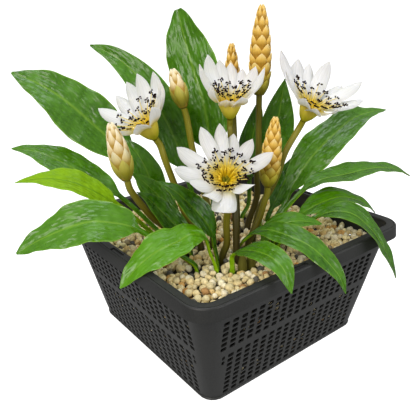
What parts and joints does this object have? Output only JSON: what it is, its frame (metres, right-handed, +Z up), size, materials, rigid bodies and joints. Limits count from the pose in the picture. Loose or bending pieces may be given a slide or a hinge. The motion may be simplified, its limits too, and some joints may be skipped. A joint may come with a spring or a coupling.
{
  "type": "water hawthorn in an aquatic basket",
  "caption": "Flowering water hawthorn with strap leaves, white flowers and bud spikes, planted in pale clay gravel in a square black mesh basket.",
  "frame": {"origin": "centre of the basket's flat underside", "axes": "+Z up; -Y out of the basket's front side, the near right one in the picture; -X out of its near left side"},
  "size_m": [0.2884, 0.2214, 0.2394],
  "materials": {
    "black_plastic": "moulded charcoal polypropylene with a fine satin grain",
    "clay_gravel": "dry cream clay pellets, matt and slightly pitted",
    "leaf": "glossy living leaf with fine veins",
    "stalk": "smooth living stalk, olive to brown",
    "petal": "soft white petal with faint veins",
    "bud_scale": "waxy yellow scales",
    "sheath": "papery leaf sheath, tan over green"
  },
  "bodies": {
    "root": {"basket": "black_plastic", "gravel": "clay_gravel", "leaf_upper_left": "leaf", "leaf_curled_back": "leaf", "leaf_tall_back": "leaf", "leaf_back_small": "leaf", "leaf_back_right": "leaf", "leaf_right_big": "leaf", "leaf_right_level": "leaf", "leaf_right_arched": "leaf", "leaf_right_draping": "leaf", "leaf_right_low": "leaf", "leaf_front_right": "leaf", "leaf_front_small": "leaf", "leaf_front_left": "leaf", "leaf_left_low": "leaf", "leaf_left_pale": "leaf", "leaf_left_middle": "leaf", "leaf_left_inner": "leaf", "leaf_left_short": "leaf", "leaf_left_upright": "leaf", "leaf_centre_left": "leaf", "leaf_right_inner": "leaf", "stalk_tall_bud": "stalk", "stalk_top_flower": "stalk", "stalk_back_bud": "stalk", "stalk_front_flower": "stalk", "stalk_left_flower": "stalk", "stalk_closed_bud": "stalk", "stalk_left_bud": "stalk", "stalk_small_bud": "stalk", "stalk_right_flower": "stalk", "flower_front": "petal", "flower_left": "petal", "flower_top": "petal", "flower_right": "petal", "bud_tall": "bud_scale", "bud_back": "bud_scale", "bud_small": "bud_scale", "bud_left": "bud_scale", "bud_closed": "petal", "sheath_front": "sheath", "sheath_front_right": "sheath"}
  },
  "joints": []
}
